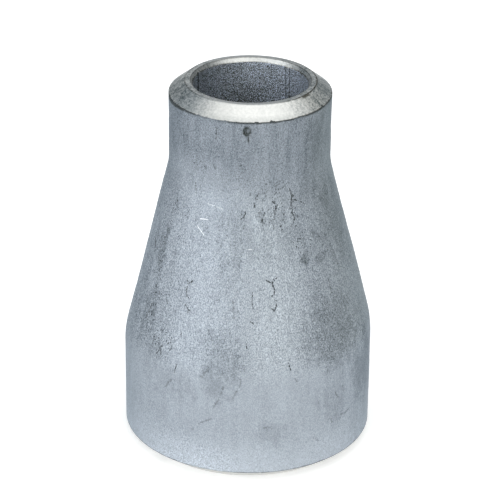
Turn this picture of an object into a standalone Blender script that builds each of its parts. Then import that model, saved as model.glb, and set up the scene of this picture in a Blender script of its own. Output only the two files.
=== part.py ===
"""A concentric butt-weld pipe reducer, one inch to half inch, pressed from seam-welded steel tube.

It stands on its large end. Its axis is Z, the large end's root face lies at Z = 0 and the
small end's root face at Z = LENGTH. Every size is in metres.
"""

import math

import bmesh
import bpy
from mathutils import Vector

MM = 0.001

# The two pipe sizes that the reducer joins, and the wall that each is welded to.
LARGE_OD = 33.4 * MM
LARGE_WALL = 3.38 * MM
SMALL_OD = 21.3 * MM
SMALL_WALL = 2.77 * MM

# Lengths along the axis. Each straight run is measured from its own end to the cone.
LENGTH = 51.0 * MM
LARGE_RUN = 15.6 * MM
SMALL_RUN = 11.2 * MM

# Outside radii of the bends where the cone runs into the straight ends.
LARGE_BEND = 16.0 * MM
SMALL_BEND = 10.0 * MM

# Weld preparation: a bevel that leaves a narrow root face, and a taper inside
# that cuts the pressed wall down to the pipe's own wall.
BEVEL_ANGLE = math.radians(37.5)
LARGE_ROOT_FACE = 1.1 * MM
SMALL_ROOT_FACE = 0.7 * MM
LARGE_TAPER_CUT = 0.4 * MM
SMALL_TAPER_CUT = 0.35 * MM
LARGE_TAPER_DEPTH = 0.7 * MM
SMALL_TAPER_DEPTH = 0.55 * MM

# The tube's own weld, trimmed to a low flat bead down the inside.
SEAM_WIDTH = 0.65 * MM
SEAM_HEIGHT = 0.12 * MM
SEAM_BEARING = math.radians(50.0)

# How finely round shapes are cut into facets.
FACETS_AROUND = 96
FACETS_PER_BEND = 6

# Points closer together than this are one point.
WELD_DISTANCE = 0.001 * MM

PRESSED_COLOUR = (0.40, 0.44, 0.48, 1.0)
MACHINED_COLOUR = (0.66, 0.66, 0.63, 1.0)


class End:
    """One end of the reducer: the radii there, and how deep its machining reaches."""

    def __init__(self, diameter, wall, root_face, taper_cut, taper_depth):
        self.outer = diameter / 2
        self.bore = self.outer - wall
        self.pressed_wall = wall + taper_cut
        self.pressed_bore = self.outer - self.pressed_wall
        self.root_edge = self.bore + root_face
        self.bevel_depth = (wall - root_face) * math.tan(BEVEL_ANGLE)
        self.taper_depth = taper_depth
        # The taper's cut also trims the seam's bead, which stands closer to the axis.
        self.bead_depth = taper_depth * (1 + SEAM_HEIGHT / taper_cut)


LARGE = End(LARGE_OD, LARGE_WALL, LARGE_ROOT_FACE, LARGE_TAPER_CUT, LARGE_TAPER_DEPTH)
SMALL = End(SMALL_OD, SMALL_WALL, SMALL_ROOT_FACE, SMALL_TAPER_CUT, SMALL_TAPER_DEPTH)

CONE_FOOT = LARGE_RUN
CONE_TOP = LENGTH - SMALL_RUN
CONE_ANGLE = math.atan2(LARGE.outer - SMALL.outer, CONE_TOP - CONE_FOOT)


def clear_scene():
    for old in list(bpy.data.objects):
        bpy.data.objects.remove(old, do_unlink=True)


def new_collection(name):
    collection = bpy.data.collections.new(name)
    bpy.context.scene.collection.children.link(collection)
    return collection


def new_material(name, colour, roughness):
    material = bpy.data.materials.new(name)
    material.use_nodes = True
    material.diffuse_color = colour
    shader = material.node_tree.nodes["Principled BSDF"]
    shader.inputs["Base Color"].default_value = colour
    shader.inputs["Metallic"].default_value = 1.0
    shader.inputs["Roughness"].default_value = roughness
    return material


def bend(before, corner, after, radius):
    """Points of the arc that rounds a corner of the section, in order."""
    back = (before - corner).normalized()
    onward = (after - corner).normalized()
    half = back.angle(onward) / 2
    reach = radius / math.tan(half)
    centre = corner + (back + onward).normalized() * radius / math.sin(half)
    start = corner + back * reach - centre
    finish = corner + onward * reach - centre
    turn = start.angle(finish)
    points = []
    for step in range(FACETS_PER_BEND + 1):
        share = step / FACETS_PER_BEND
        spoke = start * math.sin((1 - share) * turn) + finish * math.sin(share * turn)
        points.append(centre + spoke / math.sin(turn))
    return points


def wall_line(foot, cone_foot, cone_top, top, foot_radius, top_radius):
    """A wall's line up the section, from the large end to the small, with both bends rounded."""
    return [
        foot,
        *bend(foot, cone_foot, cone_top, foot_radius),
        *bend(cone_foot, cone_top, top, top_radius),
        top,
    ]


def outer_line():
    return wall_line(
        Vector((LARGE.outer, LARGE.bevel_depth)),
        Vector((LARGE.outer, CONE_FOOT)),
        Vector((SMALL.outer, CONE_TOP)),
        Vector((SMALL.outer, LENGTH - SMALL.bevel_depth)),
        LARGE_BEND,
        SMALL_BEND,
    )


def inner_line(large_depth, small_depth, proud=0.0):
    """The pressed bore between two depths, or a line that stands proud of it towards the axis.

    A corner inside lies lower than the same corner outside, so that the wall keeps its
    thickness round the bend.
    """
    drop = math.tan(CONE_ANGLE / 2)
    large_bore = LARGE.pressed_bore - proud
    small_bore = SMALL.pressed_bore - proud
    return wall_line(
        Vector((large_bore, large_depth)),
        Vector((large_bore, CONE_FOOT - LARGE.pressed_wall * drop)),
        Vector((small_bore, CONE_TOP - SMALL.pressed_wall * drop)),
        Vector((small_bore, LENGTH - small_depth)),
        LARGE_BEND - LARGE.pressed_wall,
        SMALL_BEND + SMALL.pressed_wall,
    )


def wall_section():
    """The wall's closed section: down the outside, and back up the bore."""
    return [
        Vector((SMALL.root_edge, LENGTH)),
        *reversed(outer_line()),
        Vector((LARGE.root_edge, 0.0)),
        Vector((LARGE.bore, 0.0)),
        *inner_line(LARGE.taper_depth, SMALL.taper_depth),
        Vector((SMALL.bore, LENGTH)),
    ]


def turned_wall(collection):
    """The wall's section, turned about the axis."""
    section = bmesh.new()
    corners = [section.verts.new((point.x, 0.0, point.y)) for point in wall_section()]
    for here, there in zip(corners, corners[1:] + corners[:1]):
        section.edges.new((here, there))
    mesh = bpy.data.meshes.new("wall")
    section.to_mesh(mesh)
    section.free()

    wall = bpy.data.objects.new("wall", mesh)
    collection.objects.link(wall)
    turning = wall.modifiers.new("Turned section", "SCREW")
    turning.axis = "Z"
    turning.steps = FACETS_AROUND
    turning.render_steps = FACETS_AROUND
    turning.use_merge_vertices = True
    turning.merge_threshold = WELD_DISTANCE
    return wall


def seam_outline():
    """The bead from the side: its face stands proud of the bore, its root lies in the wall."""
    face = inner_line(LARGE.bead_depth, SMALL.bead_depth, proud=SEAM_HEIGHT)
    root = inner_line(LARGE.bead_depth, SMALL.bead_depth, proud=-SMALL.pressed_wall / 2)
    return [*face, *reversed(root)]


def seam_bead(collection):
    """The trimmed weld bead, cut from a flat outline as thick as the bead is wide."""
    outline = bpy.data.curves.new("seam_outline", "CURVE")
    outline.dimensions = "2D"
    outline.fill_mode = "BOTH"
    outline.extrude = SEAM_WIDTH / 2
    points = seam_outline()
    line = outline.splines.new("POLY")
    line.use_cyclic_u = True
    line.points.add(len(points) - 1)
    for corner, point in zip(line.points, points):
        corner.co = (point.x, point.y, 0.0, 1.0)

    flat = bpy.data.objects.new("seam_outline", outline)
    flat.rotation_euler = (math.radians(90.0), 0.0, SEAM_BEARING)
    collection.objects.link(flat)
    bead = solid_from(flat, "seam_bead", collection)
    bead.hide_render = True
    bead.display_type = "WIRE"
    return bead


def solid_from(source, name, collection):
    """The source with its modifiers applied, as a closed mesh object that takes its place."""
    bpy.context.view_layer.update()
    graph = bpy.context.evaluated_depsgraph_get()
    mesh = bpy.data.meshes.new_from_object(source.evaluated_get(graph))
    place = source.matrix_world.copy()
    bpy.data.objects.remove(source, do_unlink=True)

    shape = bmesh.new()
    shape.from_mesh(mesh)
    bmesh.ops.remove_doubles(shape, verts=shape.verts, dist=WELD_DISTANCE)
    bmesh.ops.recalc_face_normals(shape, faces=shape.faces)
    shape.to_mesh(mesh)
    shape.free()
    mesh.name = name

    solid = bpy.data.objects.new(name, mesh)
    solid.matrix_world = place
    collection.objects.link(solid)
    return solid


def is_machined(point):
    """Whether a point of the surface lies on a bevel, a root face or a taper."""
    if point.z < LENGTH / 2:
        end, depth = LARGE, point.z
    else:
        end, depth = SMALL, LENGTH - point.z
    if math.hypot(point.x, point.y) > end.root_edge:
        return depth < end.bevel_depth
    return depth < end.taper_depth


def paint(reducer):
    """Gives the machined faces of both ends their own brighter finish."""
    reducer.data.materials.append(new_material("pressed_steel", PRESSED_COLOUR, 0.55))
    reducer.data.materials.append(new_material("machined_steel", MACHINED_COLOUR, 0.35))
    for face in reducer.data.polygons:
        face.material_index = int(is_machined(face.center))


def build():
    clear_scene()
    fitting = new_collection("butt_weld_reducer")
    helpers = new_collection("helpers")

    wall = turned_wall(fitting)
    joined = wall.modifiers.new("Seam bead", "BOOLEAN")
    joined.operation = "UNION"
    joined.object = seam_bead(helpers)

    reducer = solid_from(wall, "reducer", fitting)
    reducer.data.shade_smooth()
    reducer.data.set_sharp_from_angle(angle=math.radians(20.0))
    paint(reducer)


build()
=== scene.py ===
"""The looks of a concentric butt-weld pipe reducer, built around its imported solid.

The reducer stands on its large end with its axis on Z. The photograph was taken from
the -Y side. Lengths in mesh code are in metres, and in node trees in millimetres.
"""

import math

import bpy
from mathutils import Matrix, Vector


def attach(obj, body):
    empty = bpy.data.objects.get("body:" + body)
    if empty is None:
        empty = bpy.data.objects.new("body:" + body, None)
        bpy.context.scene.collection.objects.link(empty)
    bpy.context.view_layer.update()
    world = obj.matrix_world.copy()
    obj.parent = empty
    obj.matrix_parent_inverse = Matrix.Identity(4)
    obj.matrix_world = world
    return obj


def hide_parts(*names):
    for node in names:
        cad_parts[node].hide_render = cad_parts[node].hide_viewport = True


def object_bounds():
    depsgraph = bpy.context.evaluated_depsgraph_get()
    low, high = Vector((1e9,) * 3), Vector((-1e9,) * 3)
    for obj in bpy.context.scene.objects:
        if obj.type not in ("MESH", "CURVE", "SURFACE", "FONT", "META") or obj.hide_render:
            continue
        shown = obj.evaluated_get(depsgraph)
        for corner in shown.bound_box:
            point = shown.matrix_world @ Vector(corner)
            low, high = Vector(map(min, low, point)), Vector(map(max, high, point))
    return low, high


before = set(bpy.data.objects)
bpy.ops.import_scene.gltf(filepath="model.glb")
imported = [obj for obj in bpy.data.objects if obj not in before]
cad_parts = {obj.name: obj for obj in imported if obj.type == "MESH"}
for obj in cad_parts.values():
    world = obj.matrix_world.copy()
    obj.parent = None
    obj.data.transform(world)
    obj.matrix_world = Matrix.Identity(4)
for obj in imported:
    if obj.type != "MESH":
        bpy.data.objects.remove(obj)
cad_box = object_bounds()

MM = 0.001


# The reducer's wall is one piece of seam-welded steel tube. It is pressed to shape
# with square ends, and a lathe then cuts the bevels, root faces and inside tapers.
# The section below is the pressed wall, and the node tree turns it and makes the cuts.

LARGE_RADIUS = 16.7 * MM
LARGE_WALL = 3.38 * MM
SMALL_RADIUS = 10.65 * MM
SMALL_WALL = 2.77 * MM
LENGTH = cad_box[1][2]
CONE_FOOT = 15.6 * MM
CONE_TOP = LENGTH - 11.2 * MM
FOOT_EASE = 1.9 * MM
TOP_EASE = 1.2 * MM

BEVEL_SLOPE = math.tan(math.radians(37.5))
LARGE_ROOT_FACE = 1.1 * MM
SMALL_ROOT_FACE = 0.7 * MM
LARGE_TAPER_CUT = 0.4 * MM
SMALL_TAPER_CUT = 0.35 * MM
LARGE_TAPER_DEPTH = 0.7 * MM
SMALL_TAPER_DEPTH = 0.55 * MM
LARGE_BEVEL_DEPTH = (LARGE_WALL - LARGE_ROOT_FACE) * BEVEL_SLOPE
SMALL_BEVEL_DEPTH = (SMALL_WALL - SMALL_ROOT_FACE) * BEVEL_SLOPE

# The tube's own weld, and the lap across from it: bearings in degrees, widths in millimetres.
SEAM_BEARING = 50.0
SEAM_HALF_WIDTH = 0.33
BEAD_FLANK = 0.14
LAP_BEARING = 156.5
LAP_HALF_WIDTH = 0.22

# How far the press and the blasting mark the skin and the bore, in millimetres.
SKIN_SWELL = 0.07
SKIN_DENTS = 0.05
SKIN_GRAIN = 0.045
EDGE_NICKS = 0.22
SHOULDER_LEAN = 0.2
LEAN_BACK = 0.04
BORE_SWELL = 0.03
BORE_GRAIN = 0.01
BEAD_PROUD = 0.06
CHANNEL_DEPTH = 0.05
CHANNEL_REACH = 0.13
LAP_DEPTH = 0.12
LAP_STEP = 0.05

# The small end's radii at the root face's outer and inner edges, in millimetres.
ROOT_EDGE = (SMALL_RADIUS - SMALL_WALL + SMALL_ROOT_FACE) / MM
BORE_EDGE = (SMALL_RADIUS - SMALL_WALL) / MM

# Columns round the wall, the angle past which an edge stays sharp, and the distance within
# which points become one.
STEPS_ROUND = 380
SHARP_ANGLE = math.radians(26.0)
MERGE_DISTANCE = 0.001 * MM

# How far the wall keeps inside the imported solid's radius, in millimetres.
BOX_CLEARANCE = 0.001


class Wire:
    """A node's output. Python's arithmetic on it adds Math nodes."""

    def __init__(self, sheet, socket):
        self.sheet = sheet
        self.socket = socket

    def also(self, name):
        """Another output of the same node."""
        return Wire(self.sheet, self.socket.node.outputs[name])

    def __add__(self, other):
        return self.sheet.maths("ADD", self, other)

    def __sub__(self, other):
        return self.sheet.maths("SUBTRACT", self, other)

    def __rsub__(self, other):
        return self.sheet.maths("SUBTRACT", other, self)

    def __mul__(self, other):
        return self.sheet.maths("MULTIPLY", self, other)

    def __truediv__(self, other):
        return self.sheet.maths("DIVIDE", self, other)

    def __rtruediv__(self, other):
        return self.sheet.maths("DIVIDE", other, self)

    def __abs__(self):
        return self.sheet.maths("ABSOLUTE", self)

    __radd__ = __add__
    __rmul__ = __mul__

    def rise(self, low, high):
        """An S-curve from 0 at low to 1 at high."""
        return self.sheet.node(
            "ShaderNodeMapRange",
            {"interpolation_type": "SMOOTHSTEP"},
            {"Value": self, "From Min": low, "From Max": high},
        )

    def fall(self, low, high):
        """An S-curve from 1 at low to 0 at high."""
        return 1 - self.rise(low, high)

    def near(self, centre, reach):
        """1 at the centre, and 0 at the reach from it and beyond."""
        return abs(self - centre).fall(0.0, reach)


class Sheet:
    """A node tree that is wired up by Python expressions."""

    def __init__(self, tree):
        self.tree = tree

    def node(self, kind, settings=None, inputs=None, output=0):
        node = self.tree.nodes.new(kind)
        for name, value in (settings or {}).items():
            setattr(node, name, value)
        for name, value in (inputs or {}).items():
            if isinstance(value, Wire):
                self.tree.links.new(value.socket, node.inputs[name])
            else:
                node.inputs[name].default_value = value
        return Wire(self, node.outputs[output])

    def maths(self, operation, *values):
        return self.node("ShaderNodeMath", {"operation": operation}, dict(enumerate(values)))

    def fold(self, operation, values):
        """One operation taken over a list of values, from the first to the last."""
        result = values[0]
        for value in values[1:]:
            result = self.maths(operation, result, value)
        return result

    def vector_maths(self, operation, *values, output=0):
        inputs = dict(enumerate(values))
        return self.node("ShaderNodeVectorMath", {"operation": operation}, inputs, output)

    def scaled(self, vector, factor):
        inputs = {0: vector, "Scale": factor}
        return self.node("ShaderNodeVectorMath", {"operation": "SCALE"}, inputs)

    def vector(self, x, y, z):
        return self.node("ShaderNodeCombineXYZ", None, {"X": x, "Y": y, "Z": z})

    def noise(self, place, size, seed, detail=2.0, rough=0.5):
        """Cloudy noise of about -1 to 1, with features of the given size."""
        cloud = self.node(
            "ShaderNodeTexNoise",
            {"noise_dimensions": "4D"},
            {
                "Vector": place,
                "W": seed,
                "Scale": 1.0 / size,
                "Detail": detail,
                "Roughness": rough,
            },
        )
        return (cloud - 0.5) * 3.0


def eased(height, corner, reach):
    """How far a height lies past a corner, when the corner is a bend of the given reach."""
    past = height - corner
    if past <= -reach:
        return 0.0
    if past >= reach:
        return past
    return (past + reach) ** 2 / (4 * reach)


def wall_radius(height, large, small, foot, top):
    """Radius of a wall's face that tapers between a foot and a top, with both bends eased."""
    slope = (large - small) / (top - foot)
    past_foot = eased(height, foot, FOOT_EASE)
    past_top = eased(height, top, TOP_EASE)
    return large - slope * (past_foot - past_top)


def outside_radius(height):
    return wall_radius(height, LARGE_RADIUS, SMALL_RADIUS, CONE_FOOT, CONE_TOP)


def inside_radius(height):
    large_wall = LARGE_WALL + LARGE_TAPER_CUT
    small_wall = SMALL_WALL + SMALL_TAPER_CUT
    lower = math.atan2(LARGE_RADIUS - SMALL_RADIUS, CONE_TOP - CONE_FOOT) / 2
    return wall_radius(
        height,
        LARGE_RADIUS - large_wall,
        SMALL_RADIUS - small_wall,
        CONE_FOOT - large_wall * math.tan(lower),
        CONE_TOP - small_wall * math.tan(lower),
    )


def stations(*stops):
    """Heights from the first stop to the last. Each stop gives the spacing up to the next."""
    heights = []
    for (start, spacing), (end, _) in zip(stops, stops[1:]):
        count = max(1, round(abs(end - start) / spacing))
        heights += [start + (end - start) * step / count for step in range(count)]
    return heights + [stops[-1][0]]


def wall_section():
    """Rows of the pressed wall's section, down the outside and up the bore.

    Each row is a radius, a height, and 1.0 on the inside or 0.0 on the outside.
    """
    small_edge = LENGTH - SMALL_BEVEL_DEPTH
    outside = stations(
        (LENGTH, 0.16 * MM),
        (small_edge + 0.25 * MM, 0.06 * MM),
        (small_edge - 0.3 * MM, 0.28 * MM),
        (CONE_TOP - 2 * MM, 0.38 * MM),
        (CONE_FOOT, 0.46 * MM),
        (LARGE_BEVEL_DEPTH + 0.25 * MM, 0.08 * MM),
        (LARGE_BEVEL_DEPTH - 0.25 * MM, 0.3 * MM),
        (0.0, 0.0),
    )
    inside = stations(
        (0.0, 0.25 * MM),
        (LARGE_TAPER_DEPTH + 0.2 * MM, 1.4 * MM),
        (CONE_TOP, 0.9 * MM),
        (LENGTH - 9 * MM, 0.17 * MM),
        (LENGTH - SMALL_TAPER_DEPTH - 0.3 * MM, 0.07 * MM),
        (LENGTH, 0.0),
    )
    rows = [(outside_radius(height), height, 0.0) for height in outside]
    rows += [(inside_radius(height), height, 1.0) for height in inside]
    return rows


def section_object():
    """The section as loose points, each marked as inside or outside."""
    rows = wall_section()
    mesh = bpy.data.meshes.new("wall_section")
    mesh.from_pydata([(radius, 0.0, height) for radius, height, _ in rows], [], [])
    inside = mesh.attributes.new("inside", "FLOAT", "POINT")
    inside.data.foreach_set("value", [marked for _, _, marked in rows])
    section = bpy.data.objects.new("wall_section", mesh)
    bpy.context.scene.collection.objects.link(section)
    return section


# What the modifier is told. Each is a socket of the tree, in the order given here.
WALL_INPUTS = {
    "Steps Round": ("NodeSocketInt", STEPS_ROUND),
    "Length": ("NodeSocketFloat", LENGTH / MM),
    "Largest Radius": ("NodeSocketFloat", LARGE_RADIUS / MM - BOX_CLEARANCE),
    "Small Root Edge": ("NodeSocketFloat", ROOT_EDGE),
    "Large Root Edge": ("NodeSocketFloat", (LARGE_RADIUS - LARGE_WALL + LARGE_ROOT_FACE) / MM),
    "Small Bore": ("NodeSocketFloat", BORE_EDGE),
    "Large Bore": ("NodeSocketFloat", (LARGE_RADIUS - LARGE_WALL) / MM),
    "Bevel Slope": ("NodeSocketFloat", BEVEL_SLOPE),
    "Small Taper Slope": ("NodeSocketFloat", SMALL_TAPER_CUT / SMALL_TAPER_DEPTH),
    "Large Taper Slope": ("NodeSocketFloat", LARGE_TAPER_CUT / LARGE_TAPER_DEPTH),
    "Small Edge": ("NodeSocketFloat", (LENGTH - SMALL_BEVEL_DEPTH) / MM),
    "Skin Relief": ("NodeSocketFloat", 1.0),
    "Bore Relief": ("NodeSocketFloat", 1.0),
}


def skin_loss(sheet, place, height, small_edge):
    """How far the pressed skin lies inside its nominal radius, in millimetres."""
    swell = sheet.noise(place, 7.0, 1.0, detail=1.0).rise(-1.0, 1.0) * height.fall(44.0, 49.0)
    dents = sheet.noise(place, 1.6, 2.0, detail=1.0).rise(0.25, 0.9) * SKIN_DENTS
    grain = sheet.noise(place, 0.7, 3.0, detail=1.0).rise(-1.0, 1.0) * SKIN_GRAIN
    nicks = sheet.noise(place, 0.5, 6.0, detail=2.0).rise(0.15, 0.8) * EDGE_NICKS
    rough_zone = height.rise(5.0, 17.0) * height.fall(44.0, 50.0) * 0.6 + 0.4
    at_edge = height.near(small_edge, 0.7)
    return swell * SKIN_SWELL + (dents + grain) * rough_zone + nicks * at_edge


def bore_growth(sheet, place, turn, radius):
    """How far the rough bore lies outside its nominal radius, with its weld bead and lap."""
    grains = sheet.noise(place, 0.4, 4.0, detail=0.0) * BORE_GRAIN
    swell = sheet.noise(place, 4.0, 5.0, detail=0.0) * BORE_SWELL
    from_seam = abs(turn - math.radians(SEAM_BEARING)) * radius
    bead = from_seam.fall(SEAM_HALF_WIDTH - BEAD_FLANK, SEAM_HALF_WIDTH) * BEAD_PROUD
    channels = from_seam.near(SEAM_HALF_WIDTH, CHANNEL_REACH) * CHANNEL_DEPTH
    from_lap = (turn - math.radians(LAP_BEARING)) * radius
    lap = from_lap.near(0.0, LAP_HALF_WIDTH) * LAP_DEPTH
    step = from_lap.rise(-0.1, 0.1) * from_lap.fall(0.1, 2.0) * LAP_STEP
    return grains + swell + channels + lap - bead - step


def shoulder_lean(sheet, height, turn):
    """How far the skin leans to +X. The press left the shoulder fuller on that side."""
    lean = height.fall(21.0, 38.0) * height.rise(13.5, 18.0) * SHOULDER_LEAN - LEAN_BACK
    return lean * sheet.maths("COSINE", turn)


def cut_outside(sheet, skin, height, size):
    """The skin's radius once both bevels are cut, and how deep the cuts go."""
    small_bevel = size["Small Root Edge"] + (size["Length"] - height) / size["Bevel Slope"]
    large_bevel = size["Large Root Edge"] + height / size["Bevel Slope"]
    bevel = sheet.maths("MINIMUM", small_bevel, large_bevel)
    return sheet.fold("MINIMUM", [skin, bevel, size["Largest Radius"]]), skin - bevel


def cut_inside(sheet, bore, height, size):
    """The bore's radius once both tapers are cut, and how deep the cuts go."""
    small_taper = size["Small Bore"] - (size["Length"] - height) * size["Small Taper Slope"]
    large_taper = size["Large Bore"] - height * size["Large Taper Slope"]
    taper = sheet.maths("MAXIMUM", small_taper, large_taper)
    return sheet.maths("MAXIMUM", bore, taper), taper - bore


def stored_number(sheet, name):
    """A number that is stored on the mesh's points under a name."""
    return sheet.node(
        "GeometryNodeInputNamedAttribute", {"data_type": "FLOAT"}, {"Name": name}
    )


def is_over(sheet, value, limit):
    return sheet.node(
        "FunctionNodeCompare",
        {"data_type": "FLOAT", "operation": "GREATER_THAN"},
        {0: value, 1: limit},
    )


def from_row(sheet, section, kind, value, row):
    """A value of the section's point that has a row's number."""
    return sheet.node(
        "GeometryNodeSampleIndex",
        {"data_type": kind},
        {"Geometry": section, "Value": value, "Index": row},
    )


def section_grid(sheet, section, steps):
    """A grid with a column for each step round and a row for each point of the section.

    It comes with the turn of each column about Z and the number of each row.
    """
    rows = sheet.node("GeometryNodeAttributeDomainSize", None, {"Geometry": section})
    grid = sheet.node(
        "GeometryNodeMeshGrid",
        None,
        {"Size X": steps, "Size Y": rows, "Vertices X": steps + 1, "Vertices Y": rows + 1},
    )
    cell = sheet.node(
        "ShaderNodeSeparateXYZ", None, {"Vector": sheet.node("GeometryNodeInputPosition")}
    )
    turn = (cell.also("X") / steps + 0.5) * math.tau
    row = sheet.maths("FLOORED_MODULO", sheet.maths("ROUND", cell.also("Y") + rows / 2), rows)
    return grid, turn, row


def turned_wall(sheet, section, size):
    """The section turned about Z, roughened, cut at both ends, and marked where it is cut."""
    mesh, turn, row = section_grid(sheet, section, size["Steps Round"])
    position = sheet.node("GeometryNodeInputPosition")
    point = from_row(sheet, section, "FLOAT_VECTOR", position, row)
    inside = from_row(sheet, section, "FLOAT", stored_number(sheet, "inside"), row)
    pressed = sheet.node("ShaderNodeSeparateXYZ", None, {"Vector": point})
    radius = pressed.also("X") / MM
    height = pressed.also("Z") / MM
    along_x = sheet.maths("COSINE", turn)
    along_y = sheet.maths("SINE", turn)
    place = sheet.vector(radius * along_x, radius * along_y, height)

    loss = skin_loss(sheet, place, height, size["Small Edge"]) * size["Skin Relief"]
    growth = bore_growth(sheet, place, turn, radius) * size["Bore Relief"]
    skin = radius - loss + shoulder_lean(sheet, height, turn)
    outer, outer_cut = cut_outside(sheet, skin, height, size)
    bore, bore_cut = cut_inside(sheet, radius + growth, height, size)
    finished = outer + (bore - outer) * inside
    cut = outer_cut + (bore_cut - outer_cut) * inside

    for name, value in (("cut", cut), ("inside", inside)):
        mesh = sheet.node(
            "GeometryNodeStoreNamedAttribute",
            {"data_type": "FLOAT", "domain": "POINT"},
            {"Geometry": mesh, "Name": name, "Value": value},
        )
    moved = sheet.vector(finished * along_x * MM, finished * along_y * MM, height * MM)
    mesh = sheet.node("GeometryNodeSetPosition", None, {"Geometry": mesh, "Position": moved})
    return sheet.node(
        "GeometryNodeMergeByDistance", None, {"Geometry": mesh, "Distance": MERGE_DISTANCE}
    )


def shaded(sheet, mesh):
    """The mesh shaded smooth, apart from its sharp edges."""
    sharp = is_over(sheet, sheet.node("GeometryNodeInputMeshEdgeAngle"), SHARP_ANGLE)
    mesh = sheet.node("GeometryNodeSetShadeSmooth", {"domain": "FACE"}, {"Geometry": mesh})
    return sheet.node(
        "GeometryNodeSetShadeSmooth",
        {"domain": "EDGE"},
        {"Geometry": mesh, "Selection": sharp, "Shade Smooth": False},
    )


def with_finishes(sheet, mesh, finishes):
    """The skin's finish on every face, then the bore's inside and the lathe's on its cuts."""
    mesh = sheet.node("GeometryNodeRealizeInstances", None, {"Geometry": mesh})
    mesh = sheet.node(
        "GeometryNodeSetMaterial", None, {"Geometry": mesh, "Material": finishes["skin"]}
    )
    for finish, name, limit in (("bore", "inside", 0.5), ("machined", "cut", 0.0)):
        chosen = is_over(sheet, stored_number(sheet, name), limit)
        mesh = sheet.node(
            "GeometryNodeSetMaterial",
            None,
            {"Geometry": mesh, "Selection": chosen, "Material": finishes[finish]},
        )
    return mesh


def wall_tree(finishes):
    """The tree that turns the section's points into the finished wall."""
    tree = bpy.data.node_groups.new("pressed_and_machined_wall", "GeometryNodeTree")
    sockets = tree.interface
    sockets.new_socket("Section", in_out="INPUT", socket_type="NodeSocketGeometry")
    for name, (kind, _) in WALL_INPUTS.items():
        sockets.new_socket(name, in_out="INPUT", socket_type=kind)
    sockets.new_socket("Wall", in_out="OUTPUT", socket_type="NodeSocketGeometry")

    sheet = Sheet(tree)
    given = sheet.node("NodeGroupInput")
    wall = turned_wall(sheet, given, {name: given.also(name) for name in WALL_INPUTS})
    wall = with_finishes(sheet, shaded(sheet, wall), finishes)
    tree.links.new(wall.socket, tree.nodes.new("NodeGroupOutput").inputs["Wall"])
    return tree


def made_plain(source, name):
    """The source's evaluated mesh as a plain object of its own."""
    bpy.context.view_layer.update()
    graph = bpy.context.evaluated_depsgraph_get()
    mesh = bpy.data.meshes.new_from_object(source.evaluated_get(graph))
    mesh.name = name
    plain = bpy.data.objects.new(name, mesh)
    bpy.context.scene.collection.objects.link(plain)
    bpy.data.objects.remove(source, do_unlink=True)
    return plain


# The pressed skin is blasted and pickled carbon steel: matt and bluish grey, speckled
# by the blasting grit, darker towards the neck and lighter at the foot, with stains, pits
# and fine cracks left by the pressing. Its colour also holds painted light: painted shade
# at both rims, on the +X side and in one patch by the -X rim, and painted glints on the cone.

SKIN_LIGHT = (0.625, 0.677, 0.745, 1.0)
SKIN_DARK = (0.06, 0.077, 0.095, 1.0)
SKIN_STAIN = (0.135, 0.156, 0.152, 1.0)
SKIN_FILM = (0.27, 0.30, 0.285, 1.0)
SKIN_GRIME = (0.035, 0.04, 0.035, 1.0)
SKIN_GRAZING = (0.49, 0.54, 0.58, 1.0)
SCRATCH_BRIGHT = (0.88, 0.90, 0.92, 1.0)

# Soft dark patches: bearing in degrees, height, half width and half height in
# millimetres, and strength.
STAINS = [
    (-42.0, 20.0, 6.6, 6.6, 0.25),
    (-138.0, 16.6, 2.0, 3.0, 0.14),
    (-151.0, 28.5, 1.6, 4.5, 0.24),
    (-150.0, 20.5, 2.2, 5.0, 0.20),
    (-25.0, 33.0, 4.4, 8.0, 0.21),
    (-46.5, 32.8, 1.2, 1.3, 0.22),
    (-30.6, 36.9, 1.8, 2.6, 0.30),
    (-44.5, 30.0, 1.8, 0.9, 0.24),
    (-148.1, 32.2, 0.5, 1.0, 0.36),
    (-150.6, 27.6, 0.6, 1.2, 0.40),
    (-36.0, 43.0, 3.2, 7.0, 0.14),
    (-56.0, 30.5, 0.9, 1.2, 0.40),
    (-104.0, 17.3, 4.3, 6.3, 0.21),
    # Painted shade: this patch darkens the -X rim, where the light grazes it.
    (-164.0, 25.0, 2.6, 11.0, 0.15),
    (-79.0, 7.5, 2.6, 2.8, 0.14),
    (-46.0, 10.5, 3.0, 4.0, 0.12),
    (-30.0, 6.0, 1.6, 6.0, 0.10),
    (-88.0, 33.5, 9.5, 4.5, 0.15),
    (-128.0, 13.5, 6.0, 3.4, 0.13),
    (-22.0, 12.5, 4.5, 7.0, 0.24),
    (35.0, 24.0, 3.5, 6.0, 0.35),
    (80.0, 12.0, 5.0, 3.0, 0.28),
    (110.0, 33.0, 2.5, 4.0, 0.35),
    (150.0, 20.0, 3.0, 5.0, 0.30),
]

# Places where pits crowd together: bearing, height, half width and half height.
PITTED = [
    (-72.0, 38.6, 5.0, 5.0),
    (-98.0, 41.5, 4.0, 2.5),
    (-124.0, 43.0, 2.5, 2.0),
    (-148.0, 28.0, 2.0, 10.0),
    (-52.0, 32.0, 3.0, 3.0),
    (-136.0, 18.0, 3.5, 3.5),
    (30.0, 36.0, 4.0, 4.0),
    (95.0, 22.0, 5.0, 5.0),
    (140.0, 38.0, 3.0, 4.0),
]

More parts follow.
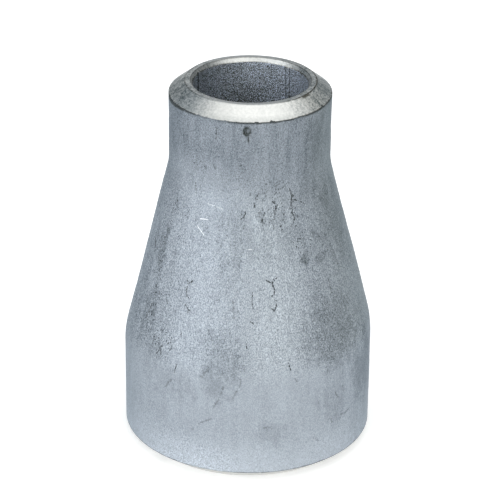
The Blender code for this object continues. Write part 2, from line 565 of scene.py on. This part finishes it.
# Fine cracks and ticks as runs of points: bearing in degrees and height in millimetres.
CRACKS = [
    [(-125.6, 27.4), (-124.8, 26.9), (-125.2, 26.1), (-124.4, 25.3), (-122.4, 25.1)],
    [(-124.8, 26.9), (-122.4, 27.4)],
    [(-124.5, 24.2), (-121.9, 23.5)],
    [(-123.0, 23.3), (-122.1, 23.7)],
    [(-76.2, 28.7), (-77.0, 28.0), (-76.0, 27.3), (-76.3, 26.6), (-78.0, 26.4)],
    [(-80.4, 28.5), (-77.2, 28.1), (-74.2, 28.8)],
    [(-78.0, 24.9), (-76.5, 24.5), (-75.0, 25.4)],
    [(-87.9, 27.0), (-88.1, 25.8), (-87.6, 24.9)],
    [(-89.0, 23.3), (-87.3, 23.0)],
    [(-90.7, 20.4), (-90.5, 19.8)],
    [(-73.5, 21.9), (-73.3, 21.3)],
    [(-124.8, 20.6), (-124.3, 20.1)],
    [(-61.2, 39.8), (-60.2, 38.8), (-61.5, 37.8), (-60.6, 36.7), (-60.6, 35.3)],
    [(-59.6, 38.3), (-54.3, 37.9), (-50.2, 37.3)],
    [(-74.3, 38.5), (-73.0, 38.2)],
    [(-72.3, 37.8), (-72.4, 37.4)],
    [(-73.2, 36.9), (-73.8, 36.5)],
    [(-69.9, 35.2), (-68.9, 34.6)],
    [(-84.6, 39.3), (-85.6, 39.1)],
    [(-86.8, 38.3), (-86.6, 37.9)],
    [(-83.1, 37.6), (-82.5, 37.1)],
    [(-81.5, 36.3), (-82.4, 35.9)],
    [(-92.6, 37.1), (-93.6, 36.6)],
    [(-94.5, 36.6), (-95.1, 36.3)],
    [(-145.5, 36.7), (-143.6, 35.6)],
    [(-162.1, 30.3), (-159.6, 29.1)],
    [(-152.0, 20.6), (-151.1, 19.9)],
    [(-113.5, 48.2), (-114.0, 46.8)],
    [(-124.4, 16.2), (-125.5, 15.0)],
    [(-70.8, 17.6), (-70.0, 16.5)],
    [(-148.9, 22.5), (-150.5, 20.2)],
    [(-144.7, 24.3), (-144.5, 23.9)],
    [(-135.7, 17.5), (-137.3, 16.5)],
    [(8.0, 27.0), (9.5, 25.8), (9.0, 24.6)],
    [(62.0, 34.0), (63.0, 32.4)],
    [(121.0, 18.6), (123.0, 17.4), (122.0, 16.6)],
]

# Fainter ticks, given in the same way.
TICKS = [
    [(-72.4, 37.4), (-73.8, 36.6)],
    [(-74.4, 35.3), (-74.2, 34.9)],
    [(-84.0, 36.9), (-83.2, 36.6)],
    [(-80.9, 35.8), (-81.4, 35.5)],
    [(-93.1, 35.4), (-93.7, 35.1)],
    [(-115.8, 7.3), (-115.1, 7.4)],
    [(-126.9, 13.8), (-128.3, 13.4), (-130.2, 12.5)],
    [(-108.3, 16.8), (-109.8, 16.1), (-111.2, 15.4)],
    [(-101.0, 14.5), (-101.5, 13.6)],
    [(-103.2, 12.5), (-105.5, 11.3)],
    [(-93.0, 15.7), (-93.3, 14.8)],
    [(-95.0, 14.0), (-96.9, 12.7)],
    [(-112.4, 8.5), (-106.4, 9.5)],
    [(-68.3, 15.3), (-67.3, 14.9)],
    [(-45.7, 11.4), (-44.1, 10.6)],
    [(-35.2, 7.7), (-38.6, 7.4), (-41.3, 7.6)],
    [(-48.0, 7.6), (-47.5, 7.1)],
    [(-81.9, 8.5), (-80.5, 8.6), (-79.0, 8.5)],
    [(-57.7, 5.7), (-55.3, 5.0)],
    [(-148.3, 22.8), (-148.0, 22.2)],
    [(-137.4, 23.8), (-137.0, 23.4)],
    [(-98.1, 25.7), (-97.2, 23.7)],
    [(-41.3, 26.9), (-41.4, 24.9)],
    [(-56.4, 22.3), (-55.0, 22.4)],
    [(-30.4, 22.8), (-29.4, 22.4)],
    [(-33.1, 30.0), (-30.7, 27.3)],
    [(-19.9, 31.6), (-19.3, 30.6)],
    [(-130.9, 39.8), (-130.2, 39.2), (-129.4, 38.7)],
    [(-122.2, 42.6), (-121.8, 42.3)],
    [(-114.9, 42.8), (-114.3, 42.6)],
    [(55.0, 9.0), (57.0, 8.2)],
    [(100.0, 6.5), (103.0, 6.2)],
]

# Bright scratches: strength, and points given in the same way.
SCRATCHES = [
    (0.45, [(-118.5, 37.7), (-113.6, 37.6)]),
    (0.34, [(-111.8, 37.5), (-107.8, 37.4)]),
    (0.85, [(-122.6, 35.6), (-117.5, 35.7)]),
    (0.85, [(-124.2, 34.6), (-118.9, 33.7)]),
    (0.42, [(-90.2, 32.5), (-88.4, 32.5)]),
    (0.7, [(40.0, 31.0), (47.0, 30.2)]),
    (0.7, [(130.0, 28.0), (134.0, 26.5)]),
]

# Paler patches at the foot and under the neck: bearing, height, half width and half height.
BLEACHED_FOOT = (-118.5, 1.5, 8.5, 5.5)
PALE_NECK = (-125.0, 40.2, 8.0, 4.5)

# The spot that ran down under the bevel: its body, its tail and the worn place in its middle.
DRIP_BODY = (-92.2, 48.15, 0.72, 0.95)
DRIP_TAIL = (-91.2, 47.15, 0.24, 0.7)
DRIP_WORN = (-91.4, 48.3, 0.3, 0.42)

# Where the dark line along the small bevel's edge is fainter.
RUBBED_BURR = (-117.0, 49.2, 3.0, 1.6)

# The radius in millimetres at which streaks are drawn to scale, about midway up the cone.
STREAK_RADIUS = 13.0

# How far each kind of mark reaches from its line, in millimetres.
CRACK_REACH = 0.12
TICK_REACH = 0.24
SCRATCH_REACH = 0.09


class Surface:
    """A finish's node sheet, with its place on the part in millimetres and as a bearing."""

    def __init__(self, name):
        self.material = bpy.data.materials.new(name)
        self.material.use_nodes = True
        self.sheet = Sheet(self.material.node_tree)
        self.shader = self.material.node_tree.nodes["Principled BSDF"]
        coordinates = self.sheet.node("ShaderNodeTexCoord").also("Object")
        self.place = self.sheet.scaled(coordinates, 1.0 / MM)
        axes = self.sheet.node("ShaderNodeSeparateXYZ", None, {"Vector": self.place})
        self.x = axes.also("X")
        self.y = axes.also("Y")
        self.height = axes.also("Z")
        self.bearing = self.sheet.maths("ARCTAN2", self.y, self.x)
        self.radius = self.sheet.maths("SQRT", self.x * self.x + self.y * self.y)
        self.laid_flat = self.sheet.vector(self.bearing, self.height, 0.0)

    def noise(self, size, seed, detail=2.0, rough=0.5):
        return self.sheet.noise(self.place, size, seed, detail, rough)

    def streaks(self, size, tall, seed, detail=2.0, rough=0.5):
        """Noise drawn out up the part, which narrows as the part does."""
        around = STREAK_RADIUS / self.radius
        place = self.sheet.vector(self.x * around, self.y * around, self.height / tall)
        return self.sheet.noise(place, size, seed, detail, rough)

    def across(self, bearing):
        """Distance round the part from a bearing in degrees."""
        return (self.bearing - math.radians(bearing)) * self.radius

    def facing_x(self):
        """1 on the +X side of the part, 0 in front and at the back, and -1 on the -X side."""
        return self.x / self.radius

    def flank(self):
        """0 on the front and back of the part, 1 on its two sides."""
        return abs(self.facing_x()).rise(0.35, 0.95)

    def patch(self, bearing, height, half_width, half_height, ragged):
        """1 at the middle of an oval patch and 0 at its ragged rim."""
        wide = self.across(bearing) / half_width
        tall = (self.height - height) / half_height
        return (wide * wide + tall * tall + ragged).fall(0.0, 1.0)

    def line_gap(self, start, end):
        """Distance from a short line on the outside, with the skin laid flat round it."""
        radius = outside_radius((start[1] + end[1]) / 2 * MM) / MM
        foot, tip = [
            Vector((math.radians(bearing) * radius, height, 0.0))
            for bearing, height in (start, end)
        ]
        span = tip - foot
        reach = span / span.length_squared
        here = self.sheet.vector_maths("MULTIPLY_ADD", self.laid_flat, (radius, 1.0, 0.0), -foot)
        share = self.sheet.vector_maths("DOT_PRODUCT", here, reach, output="Value")
        share = self.sheet.node("ShaderNodeClamp", None, {"Value": share})
        nearest = self.sheet.scaled(span, share)
        return self.sheet.vector_maths("DISTANCE", here, nearest, output="Value")

    def gap(self, runs):
        """Distance from the nearest line in several runs of points."""
        lines = [ends for points in runs for ends in zip(points, points[1:])]
        return self.sheet.fold("MINIMUM", [self.line_gap(start, end) for start, end in lines])

    def most(self, masks):
        """The strongest of several masks at each point."""
        return self.sheet.fold("MAXIMUM", masks)

    def mix(self, share, first, second):
        return self.sheet.node(
            "ShaderNodeMix",
            {"data_type": "RGBA", "clamp_factor": True},
            {0: share, 6: first, 7: second},
            output=2,
        )

    def attribute(self, name):
        return self.sheet.node(
            "ShaderNodeAttribute", {"attribute_name": name}, None, output="Fac"
        )

    def finish(self, colour, roughness, metallic, relief, depth):
        """Wires up the shader. The relief is in depths of the given millimetres."""
        bump = self.sheet.node(
            "ShaderNodeBump",
            None,
            {"Height": relief, "Distance": depth * MM, "Strength": 1.0},
        )
        links = self.sheet.tree.links
        links.new(colour.socket, self.shader.inputs["Base Color"])
        links.new(roughness.socket, self.shader.inputs["Roughness"])
        links.new(bump.socket, self.shader.inputs["Normal"])
        self.shader.inputs["Metallic"].default_value = metallic
        return self.material


class PressedSkin(Surface):
    """The skin, with the noises and patches that several of its marks share."""

    def __init__(self):
        super().__init__("pressed_skin")
        self.clouds = self.streaks(6.0, 1.8, 11.0, detail=3.0)
        self.drawn = self.streaks(1.1, 5.0, 12.0, detail=3.0, rough=0.6)
        self.mottle = self.noise(1.3, 13.0, detail=3.0, rough=0.6)
        self.speckle = self.streaks(0.22, 1.6, 14.0, detail=1.0, rough=0.7)
        self.dust = self.streaks(0.1, 1.8, 15.0, detail=0.0)
        self.knots = self.noise(0.55, 16.0, detail=1.0)
        self.beads = self.noise(0.34, 25.0, detail=0.0)
        self.ragged = self.mottle * 0.6 + self.drawn * 0.4 + self.speckle * 0.25
        self.bleached = self.oval(BLEACHED_FOOT)
        self.stain = self.most([self.oval(place) * strength for *place, strength in STAINS])
        self.to_crack = self.gap(CRACKS)
        self.gritty = self.grittiness()

    def oval(self, place):
        return self.patch(*place, self.ragged)

    def grittiness(self):
        """How strongly the blasting's speckle shows: most on the cone and its flanks."""
        gritty = self.height.rise(14.0, 19.0) * 0.6 + 0.44 - self.height.rise(33.0, 43.0) * 0.37
        gritty = gritty * (1 + self.flank() * 0.42)
        return gritty + self.bleached * 0.55 + self.height.fall(2.0, 10.0) * 0.12

    def tone(self):
        """How light the bare metal is, with painted shade at its two rims."""
        light = 0.5 + self.clouds * 0.06 + self.mottle * (0.03 + self.flank() * 0.03)
        light = light + self.drawn * (self.height.rise(22.0, 42.0) * 0.05 + 0.06)
        light = light + (self.speckle * 0.12 + self.dust * 0.3) * self.gritty
        light = light + self.bleached * 0.09 + self.oval(PALE_NECK) * 0.085
        # Darker towards the neck and lighter at the foot.
        oxide = self.height.rise(33.0, 45.0) * 0.23 - self.height.fall(1.0, 9.0) * 0.15
        # Painted shade: the skin is painted darker at its two rims, the +X and -X sides below the
        # neck.
        rim = abs(self.facing_x()).rise(0.85, 1.0) * self.height.fall(34.0, 40.0) * 0.06
        return light - oxide - self.stain * 0.5 - rim

    def bare_colour(self):
        """The metal's colour, with painted shade on the +X side, tinted green, and with its
        stains and one patch of painted shade.
        """
        # Painted shade: the +X side of the cone and neck is painted darker and greener.
        film = self.facing_x().rise(0.5, 1.0) * self.height.rise(14.0, 20.0) * 0.3
        colour = self.mix(self.tone(), SKIN_DARK, SKIN_LIGHT)
        colour = self.mix(film, colour, SKIN_FILM)
        return self.mix(self.stain * self.stain * 1.6, colour, SKIN_STAIN)

    def cracks(self):
        """Fine cracks, which break up into beads high on the cone."""
        broken = self.knots * 0.06 + self.beads * self.height.rise(30.0, 33.0) * 0.065
        return (self.to_crack + self.dust * 0.08 + 0.02 - broken).fall(0.0, CRACK_REACH)

    def ticks(self):
        to_tick = self.gap(TICKS) + self.dust * 0.08 - self.beads * 0.08
        return to_tick.fall(0.0, TICK_REACH) * 0.32

    def pits(self):
        """Pits, which crowd together in the pitted places, in the stains and by the cracks."""
        pitted = self.most([self.oval(place) for place in PITTED])
        chains = self.streaks(1.2, 7.0, 17.0, detail=1.0) * 0.7 + pitted * 0.85 + self.stain * 0.4
        crowded = chains * 0.5 + self.to_crack.fall(0.0, 0.7) * 0.2
        return (self.noise(0.22, 18.0, detail=1.0) + crowded).rise(0.74, 1.04) * self.gritty

    def dashes(self):
        """Short upright dashes on the large run and the foot of the cone."""
        dashes = (self.streaks(0.24, 4.0, 20.0, detail=1.0) + self.mottle * 0.3).rise(0.8, 1.15)
        return dashes * self.height.near(13.0, 9.0) * 0.6

    def drip(self):
        drip = self.most([self.oval(DRIP_BODY), self.oval(DRIP_TAIL)]).rise(0.0, 0.8)
        worn = self.patch(*DRIP_WORN, self.speckle * 0.4)
        return drip * (0.8 + self.dust * 0.5 + self.speckle * 0.3) * (1 - worn * 0.6)

    def burr(self):
        """A dark line along the edge of each bevel, thickest at the small end's -X side."""
        thick = self.height.rise(40.0, 45.0) * (0.2 + self.x.fall(-10.6, -7.5) * 0.45)
        burr = (self.attribute("cut") + thick + self.mottle * 0.2).rise(-0.25, 0.1)
        return burr * (1 - self.oval(RUBBED_BURR) * 0.8)

    def scratches(self):
        lines = [
            self.gap([points]).fall(0.0, SCRATCH_REACH) * strength
            for strength, points in SCRATCHES
        ]
        return self.most(lines) * (1 + self.speckle * 0.4 + self.knots * 0.3)

    def sparkle(self):
        """Painted glints: bright grains on the lower half of the cone, painted as if catching the
        light.
        """
        grains = self.streaks(0.3, 0.55, 19.0, detail=1.0) + self.mottle * 0.3
        grains = grains + self.clouds * 0.25
        return grains.rise(0.95, 1.2) * self.height.near(23.0, 12.0) * 0.8


def pressed_skin():
    skin = PressedSkin()
    cracks = skin.cracks()
    pits = skin.pits()
    scratches = skin.scratches()
    grime = skin.most(
        [cracks * 0.9, skin.ticks(), skin.drip(), pits * 0.8, skin.dashes(), skin.burr() * 0.8]
    )
    colour = skin.mix(grime, skin.bare_colour(), SKIN_GRIME)
    # Bright scratches, and painted glints on the cone.
    colour = skin.mix(skin.most([scratches, skin.sparkle()]), colour, SCRATCH_BRIGHT)

    roughness = 0.5 + skin.mottle * 0.05 + grime * 0.25 - scratches * 0.15
    relief = skin.mottle * 0.4 + skin.speckle * 0.6 + skin.dust * 0.35
    relief = relief - pits * 1.2 - cracks * 2.0
    skin.shader.inputs["Specular Tint"].default_value = SKIN_GRAZING
    return skin.finish(colour, roughness, 0.9, relief, 0.035)


# The bevels, root faces and inside tapers are turned on a lathe and left bright, with
# fine rings from the tool, nicks, and a faint greenish-grey film where they dulled.
# Their colour also holds painted light: a painted highlight at the front of the bevel,
# painted shade at its sides and back, and a painted shadow in a chip of the root face.

MACHINED_BRIGHT = (0.65, 0.65, 0.635, 1.0)
MACHINED_DULL = (0.15, 0.177, 0.178, 1.0)
MACHINED_GRIME = (0.05, 0.045, 0.03, 1.0)

# The radius of the bevel's middle in millimetres, where the chatter is drawn to scale.
BEVEL_MIDDLE = 9.0

# The bearing in degrees of a chip out of the root face's outer edge, where its shadow is painted.
CHIP_BEARING = -36.0


class MachinedSteel(Surface):
    """The lathe's cuts, with the noises and masks that their tone and grime share."""

    def __init__(self):
        super().__init__("machined_steel")
        turned = self.sheet.vector(0.0, self.radius, self.height)
        around = BEVEL_MIDDLE / self.radius
        radial = self.sheet.vector(self.x * around, self.y * around, self.radius * 0.3)
        self.rings = self.sheet.noise(turned, 0.11, 21.0, detail=3.0)
        self.chatter = self.sheet.noise(radial, 0.9, 22.0, detail=3.0, rough=0.6)
        self.film = self.noise(2.2, 23.0, detail=3.0)
        self.specks = self.noise(0.32, 24.0, detail=2.0, rough=0.7)
        self.grit = self.noise(0.15, 25.0, detail=1.0)
        self.sides = self.flank()
        self.cut = self.attribute("cut")
        self.root_face = self.height.rise(LENGTH / MM - 0.12, LENGTH / MM - 0.04)

    def tone(self):
        """How bright the metal is: painted bright at the front as a painted highlight, with
        painted shade at the sides and at the back, and uneven at the sides.
        """
        bevel = (self.radius - ROOT_EDGE).rise(0.0, 0.1)
        # Painted shade on the bevel behind its front and away from its middle, which leaves a
        # narrow painted highlight at the front.
        behind = self.y.rise(-7.0, 0.0) * 0.35 + self.y.rise(-3.0, 0.5) * 0.3
        off_centre = abs(self.facing_x() - 0.09).rise(0.1, 0.6) * 0.12
        worn_edge = self.cut.fall(0.1, 0.9) * (1 - self.sides) * 0.22
        # The root face is dull, with painted shade at the sides and darker near x = 5 mm.
        dull_face = 0.2 + self.sides * 0.12 + self.x.near(5.0, 4.0) * 0.15
        uneven = self.chatter * 0.75 + self.specks * 0.8 + self.grit * 0.7
        tone = 0.93 + self.film * 0.08 + self.rings * 0.05 + self.specks * 0.22
        tone = tone - self.root_face * dull_face - bevel * (behind + off_centre + worn_edge)
        tone = tone - self.radius.fall(BORE_EDGE - 0.1, BORE_EDGE) * 0.12
        return tone + self.sides * (uneven + self.cut.fall(0.0, 0.3) * 0.12)

    def lips(self):
        """The dark lines along both edges of the root face."""
        outer = (abs(self.radius - ROOT_EDGE) + self.specks * 0.08).fall(0.0, 0.16)
        inner = (abs(self.radius - BORE_EDGE) + self.specks * 0.05).fall(0.0, 0.11)
        outer = outer * (self.sides * 0.5 + self.x.rise(0.0, 6.0) * 0.5 + self.chatter * 0.2)
        return (outer + inner * 0.5) * self.root_face

    def grime(self):
        """Dark lines along the edges and lips, dirt in pocks and flecks, and painted shadow in
        the chip.
        """
        edge = (self.cut + self.specks * 0.08 - self.sides * 0.02).fall(0.0, 0.1)
        edge = edge * (0.3 + self.sides * 0.5)
        pocks = (self.specks + self.chatter * 0.6).rise(0.65, 1.1) * (0.2 + self.sides * 0.75)
        flecks = (self.grit + self.specks * 0.5).rise(0.6, 1.0) * self.sides * 0.6
        # Painted shadow in the chip.
        chip = abs(self.across(CHIP_BEARING)).fall(0.4, 1.3)
        chip = chip * abs(self.radius - ROOT_EDGE - 0.1).fall(0.08, 0.3) * 0.85
        return self.most([edge, self.lips(), pocks, flecks, chip])


def machined_steel():
    steel = MachinedSteel()
    grime = steel.grime()
    colour = steel.mix(steel.tone(), MACHINED_DULL, MACHINED_BRIGHT)
    colour = steel.mix(grime, colour, MACHINED_GRIME)
    roughness = 0.36 + steel.film * 0.02 + grime * 0.2
    relief = steel.rings * 0.3 + (steel.chatter + steel.specks) * (0.4 + steel.sides * 1.1)
    return steel.finish(colour, roughness, 1.0, relief, 0.014)


# The bore keeps the rough dark scale of the hot pressing. The tube's own weld shows as
# a trimmed bead between two thin dark lines, with a lap in the metal across from it.
# Its tone also holds painted light: lighter on the +X and back walls, where the light
# falls, and painted shade deep down.

SCALE_LIGHT = (0.77, 0.85, 1.0, 1.0)
SCALE_DARK = (0.062, 0.067, 0.046, 1.0)


def bore_scale():
    bore = Surface("bore_scale")
    fine = bore.streaks(0.24, 0.4, 31.0, detail=0.0)
    clouds = bore.noise(3.0, 32.0, detail=2.0)

    # Painted light and shade: the +X and back walls are painted lighter, where the light falls,
    # and the bore is painted darker deep down its middle.
    lit = (bore.x * 0.85 + bore.y * 0.5).rise(-6.0, 9.0)
    deep = bore.height.fall(44.0, 48.5) * bore.x.near(-0.7, 5.5)
    tone = 0.28 + lit * 0.21 + clouds * 0.05 + fine * (0.68 + lit * 0.2) - deep * 0.31
    colour = bore.mix(tone, SCALE_DARK, SCALE_LIGHT)
    from_seam = abs(bore.across(SEAM_BEARING))
    lines = from_seam.near(SEAM_HALF_WIDTH, CHANNEL_REACH) * (0.72 - fine * 0.2)
    lap = (abs(bore.across(LAP_BEARING)) + fine * 0.06).fall(0.08, 0.42) * 0.95
    colour = bore.mix(bore.most([lines, lap]), colour, SKIN_GRIME)
    roughness = 0.5 + fine * 0.06
    return bore.finish(colour, roughness, 0.85, fine, 0.035)


section = section_object()
shaping = section.modifiers.new("Turned and cut", "NODES")
shaping.node_group = wall_tree(
    {"skin": pressed_skin(), "machined": machined_steel(), "bore": bore_scale()}
)
for item in shaping.node_group.interface.items_tree:
    if item.in_out == "INPUT" and item.name in WALL_INPUTS:
        shaping[item.identifier] = WALL_INPUTS[item.name][1]

reducer_wall = made_plain(section, "reducer_wall")
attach(reducer_wall, "root")
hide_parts("reducer")


# The studio is a back-lit pale floor under large soft lights, seen through a long lens that is
# held a little above the part and rolled by half a degree, as in the photograph.

FLOOR_SIZE = 4.0
FLOOR_COLOUR = (0.8, 0.8, 0.8, 1.0)
FLOOR_GLOW = 0.42
AIR_COLOUR = (0.70, 0.86, 1.0, 1.0)
AIR_STRENGTH = 0.12

CAMERA_DISTANCE = 332.0 * MM
CAMERA_ELEVATION = math.radians(25.93)
CAMERA_ROLL = math.radians(0.63)
CAMERA_TARGET = Vector((0.13 * MM, 0.0, 26.41 * MM))
CAMERA_LENS = 178.5

# Each softbox: name, bearing and elevation in degrees, distance, width, height, watts
# and colour.
SOFTBOXES = [
    ("top_softbox", -62.0, 77.0, 0.62, 1.05, 1.05, 5.3, (1.0, 1.0, 0.98)),
    ("left_softbox", -142.0, 20.0, 0.80, 0.75, 0.55, 3.5, (0.97, 0.99, 1.0)),
    ("far_left_softbox", 152.0, 36.0, 0.90, 0.60, 0.60, 0.4, (0.78, 0.90, 1.0)),
    ("far_right_softbox", 36.0, 34.0, 0.90, 0.50, 0.50, 0.35, (1.0, 1.0, 0.94)),
    ("right_softbox", -66.0, 16.0, 0.80, 0.40, 0.50, 1.85, (1.0, 1.0, 0.93)),
    ("back_softbox", 90.0, 21.0, 1.10, 1.50, 0.85, 2.0, (0.95, 0.98, 1.0)),
]


def pale_floor():
    paper = bpy.data.materials.new("pale_floor")
    paper.use_nodes = True
    shader = paper.node_tree.nodes["Principled BSDF"]
    shader.inputs["Base Color"].default_value = FLOOR_COLOUR
    shader.inputs["Roughness"].default_value = 0.9
    shader.inputs["Emission Color"].default_value = (1.0, 1.0, 1.0, 1.0)
    shader.inputs["Emission Strength"].default_value = FLOOR_GLOW
    half = FLOOR_SIZE / 2
    mesh = bpy.data.meshes.new("floor")
    mesh.from_pydata(
        [(-half, -half, 0.0), (half, -half, 0.0), (half, half, 0.0), (-half, half, 0.0)],
        [],
        [(0, 1, 2, 3)],
    )
    mesh.materials.append(paper)
    plane = bpy.data.objects.new("floor", mesh)
    bpy.context.scene.collection.objects.link(plane)


def facing(place, target, roll=0.0):
    """A placement at a point, looking at a target, rolled about its own view."""
    look = (target - place).to_track_quat("-Z", "Y").to_matrix().to_4x4()
    return Matrix.Translation(place) @ look @ Matrix.Rotation(roll, 4, "Z")


def out_from(target, bearing, elevation, distance):
    level = math.cos(elevation) * distance
    return target + Vector(
        (math.cos(bearing) * level, math.sin(bearing) * level, math.sin(elevation) * distance)
    )


def softbox(name, bearing, elevation, distance, width, height, watts, colour):
    light = bpy.data.lights.new(name, "AREA")
    light.shape = "RECTANGLE"
    light.size = width
    light.size_y = height
    light.energy = watts
    light.color = colour
    lamp = bpy.data.objects.new(name, light)
    bpy.context.scene.collection.objects.link(lamp)
    place = out_from(CAMERA_TARGET, math.radians(bearing), math.radians(elevation), distance)
    lamp.matrix_world = facing(place, CAMERA_TARGET)


def studio_air():
    world = bpy.data.worlds.new("studio_air")
    world.use_nodes = True
    background = world.node_tree.nodes["Background"]
    background.inputs["Color"].default_value = AIR_COLOUR
    background.inputs["Strength"].default_value = AIR_STRENGTH
    bpy.context.scene.world = world


def photo_camera():
    lens = bpy.data.cameras.new("photo_camera")
    lens.lens = CAMERA_LENS
    lens.sensor_width = 36.0
    lens.clip_start = 0.01
    camera = bpy.data.objects.new("photo_camera", lens)
    bpy.context.scene.collection.objects.link(camera)
    place = out_from(CAMERA_TARGET, math.radians(-90.0), CAMERA_ELEVATION, CAMERA_DISTANCE)
    camera.matrix_world = facing(place, CAMERA_TARGET, CAMERA_ROLL)
    bpy.context.scene.camera = camera


pale_floor()
for box in SOFTBOXES:
    softbox(*box)
studio_air()
photo_camera()
bpy.context.scene.view_settings.view_transform = "Standard"
